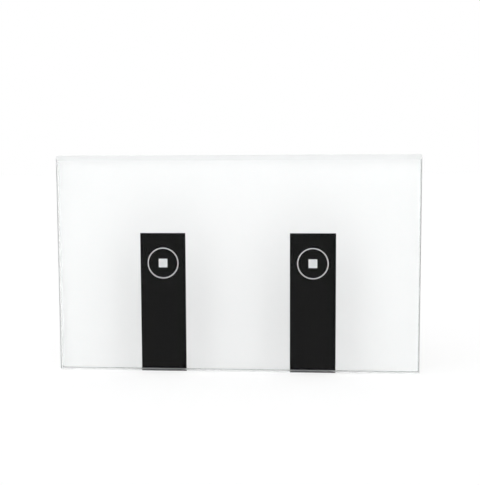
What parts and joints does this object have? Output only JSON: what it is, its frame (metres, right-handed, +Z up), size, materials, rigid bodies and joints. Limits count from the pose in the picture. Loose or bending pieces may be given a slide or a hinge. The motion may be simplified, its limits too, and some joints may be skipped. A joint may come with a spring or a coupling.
{
  "type": "touch light switch",
  "caption": "Flush touch light switch with a white-backed glass front, two black key strips, a front frame that pulls off, a mounting strap and a relay box with clamp terminals behind.",
  "frame": {"origin": "on the wall plane, midway between the two wall box screw slots", "axes": "+X to the right along the glass, +Y into the wall, +Z up"},
  "size_m": [0.12, 0.0368, 0.072],
  "materials": {
    "clear_glass": "clear toughened glass, polished",
    "white_ink": "white screen print on the back of the glass",
    "black_ink": "black screen print on the back of the glass",
    "grey_ink": "light grey screen print",
    "window_ink": "translucent light grey print",
    "foam_tape": "white foam tape",
    "white_abs": "moulded white ABS, fine grain",
    "white_pc": "moulded white polycarbonate, fine grain",
    "zinc_steel": "zinc-plated pressed steel",
    "screw_steel": "zinc-plated screw steel",
    "spring_steel": "bright spring wire",
    "solder_mask": "green solder mask on glass-fibre board",
    "guide_acrylic": "clear moulded acrylic",
    "led_resin": "moulded light-emitting chip",
    "chip_epoxy": "moulded black epoxy with tinned legs",
    "shield_tin": "tinned pressed shield",
    "black_nylon": "moulded black nylon",
    "grey_polyamide": "moulded dark grey polyamide",
    "tinned_copper": "tinned copper bar",
    "ferrite": "sintered ferrite",
    "winding_tape": "yellow polyester tape over the winding",
    "capacitor_box": "yellow moulded box",
    "varistor_epoxy": "blue dipped epoxy",
    "capacitor_sleeve": "dark sleeve over an aluminium can",
    "fuse_plastic": "brown moulded fuse body",
    "relay_plastic": "moulded blue relay cover",
    "relay_iron": "plated soft iron",
    "coil_copper": "enamelled copper winding",
    "contact_copper": "copper alloy with silver contacts"
  },
  "bodies": {
    "base": {"mounting_strap": "zinc_steel", "strap_rivets": "screw_steel", "base_plate": "white_pc", "sensor_cover": "white_pc", "touch_board": "solder_mask", "board_screws": "screw_steel", "status_lights": "led_resin", "touch_chip": "chip_epoxy", "control_chip": "chip_epoxy", "radio_board": "solder_mask", "radio_shield": "shield_tin", "board_header": "black_nylon", "board_socket": "black_nylon", "rear_housing": "white_pc", "housing_screws": "screw_steel", "power_board": "solder_mask", "terminal_block": "grey_polyamide", "terminal_bars": "tinned_copper", "transformer_core": "ferrite", "transformer_winding": "winding_tape", "film_capacitor": "capacitor_box", "varistor": "varistor_epoxy", "filter_capacitor": "capacitor_sleeve", "output_capacitor": "capacitor_sleeve", "fuse": "fuse_plastic", "bridge_rectifier": "chip_epoxy", "touch_spring_left": "spring_steel", "light_guide_left": "guide_acrylic", "relay_case_left": "relay_plastic", "relay_base_left": "black_nylon", "relay_yoke_left": "relay_iron", "relay_coil_left": "coil_copper", "relay_contact_left": "contact_copper", "touch_spring_right": "spring_steel", "light_guide_right": "guide_acrylic", "relay_case_right": "relay_plastic", "relay_base_right": "black_nylon", "relay_yoke_right": "relay_iron", "relay_coil_right": "coil_copper", "relay_contact_right": "contact_copper"},
    "front_panel": {"glass_panel": "clear_glass", "white_print": "white_ink", "black_strip_left": "black_ink", "black_strip_right": "black_ink", "key_ring_left": "grey_ink", "key_ring_right": "grey_ink", "key_window_left": "window_ink", "key_window_right": "window_ink", "adhesive_tape": "foam_tape", "front_frame": "white_abs"},
    "clamp_screw_1": {"clamp_screw_1": "screw_steel"},
    "clamp_cage_1": {"clamp_cage_1": "zinc_steel"},
    "clamp_screw_2": {"clamp_screw_2": "screw_steel"},
    "clamp_cage_2": {"clamp_cage_2": "zinc_steel"},
    "clamp_screw_3": {"clamp_screw_3": "screw_steel"},
    "clamp_cage_3": {"clamp_cage_3": "zinc_steel"},
    "clamp_screw_4": {"clamp_screw_4": "screw_steel"},
    "clamp_cage_4": {"clamp_cage_4": "zinc_steel"},
    "relay_armature_left": {"relay_armature_left": "relay_iron"},
    "relay_armature_right": {"relay_armature_right": "relay_iron"}
  },
  "joints": [
    {"name": "front_panel_release", "type": "slide", "parent": "base", "child": "front_panel", "axis": [0, -1, 0], "range_m": [0, 0.025]},
    {"name": "clamp_screw_1_turn", "type": "hinge", "parent": "base", "child": "clamp_screw_1", "pos_m": [-0.01275, 0.0155, -0.0177], "axis": [0, -1, 0], "range_deg": [0, 2161]},
    {"name": "clamp_cage_1_lift", "type": "slide", "parent": "base", "child": "clamp_cage_1", "axis": [0, 1, 0], "range_m": [0, 0.003]},
    {"name": "clamp_screw_2_turn", "type": "hinge", "parent": "base", "child": "clamp_screw_2", "pos_m": [-0.00425, 0.0155, -0.0177], "axis": [0, -1, 0], "range_deg": [0, 2161]},
    {"name": "clamp_cage_2_lift", "type": "slide", "parent": "base", "child": "clamp_cage_2", "axis": [0, 1, 0], "range_m": [0, 0.003]},
    {"name": "clamp_screw_3_turn", "type": "hinge", "parent": "base", "child": "clamp_screw_3", "pos_m": [0.00425, 0.0155, -0.0177], "axis": [0, -1, 0], "range_deg": [0, 2161]},
    {"name": "clamp_cage_3_lift", "type": "slide", "parent": "base", "child": "clamp_cage_3", "axis": [0, 1, 0], "range_m": [0, 0.003]},
    {"name": "clamp_screw_4_turn", "type": "hinge", "parent": "base", "child": "clamp_screw_4", "pos_m": [0.01275, 0.0155, -0.0177], "axis": [0, -1, 0], "range_deg": [0, 2161]},
    {"name": "clamp_cage_4_lift", "type": "slide", "parent": "base", "child": "clamp_cage_4", "axis": [0, 1, 0], "range_m": [0, 0.003]},
    {"name": "relay_left_pull", "type": "hinge", "parent": "base", "child": "relay_armature_left", "pos_m": [-0.0272, 0.01932, 0.011], "axis": [0, 0, -1], "range_deg": [0, 3], "stiffness_Nm_per_rad": 0.004, "springref_deg": -8.59},
    {"name": "relay_right_pull", "type": "hinge", "parent": "base", "child": "relay_armature_right", "pos_m": [0.0128, 0.01932, 0.011], "axis": [0, 0, -1], "range_deg": [0, 3], "stiffness_Nm_per_rad": 0.004, "springref_deg": -8.59}
  ],
  "couplings": [
    {"joint": "clamp_screw_1_turn", "follows": "clamp_cage_1_lift", "rad_per_m": 12566},
    {"joint": "clamp_screw_2_turn", "follows": "clamp_cage_2_lift", "rad_per_m": 12566},
    {"joint": "clamp_screw_3_turn", "follows": "clamp_cage_3_lift", "rad_per_m": 12566},
    {"joint": "clamp_screw_4_turn", "follows": "clamp_cage_4_lift", "rad_per_m": 12566}
  ]
}
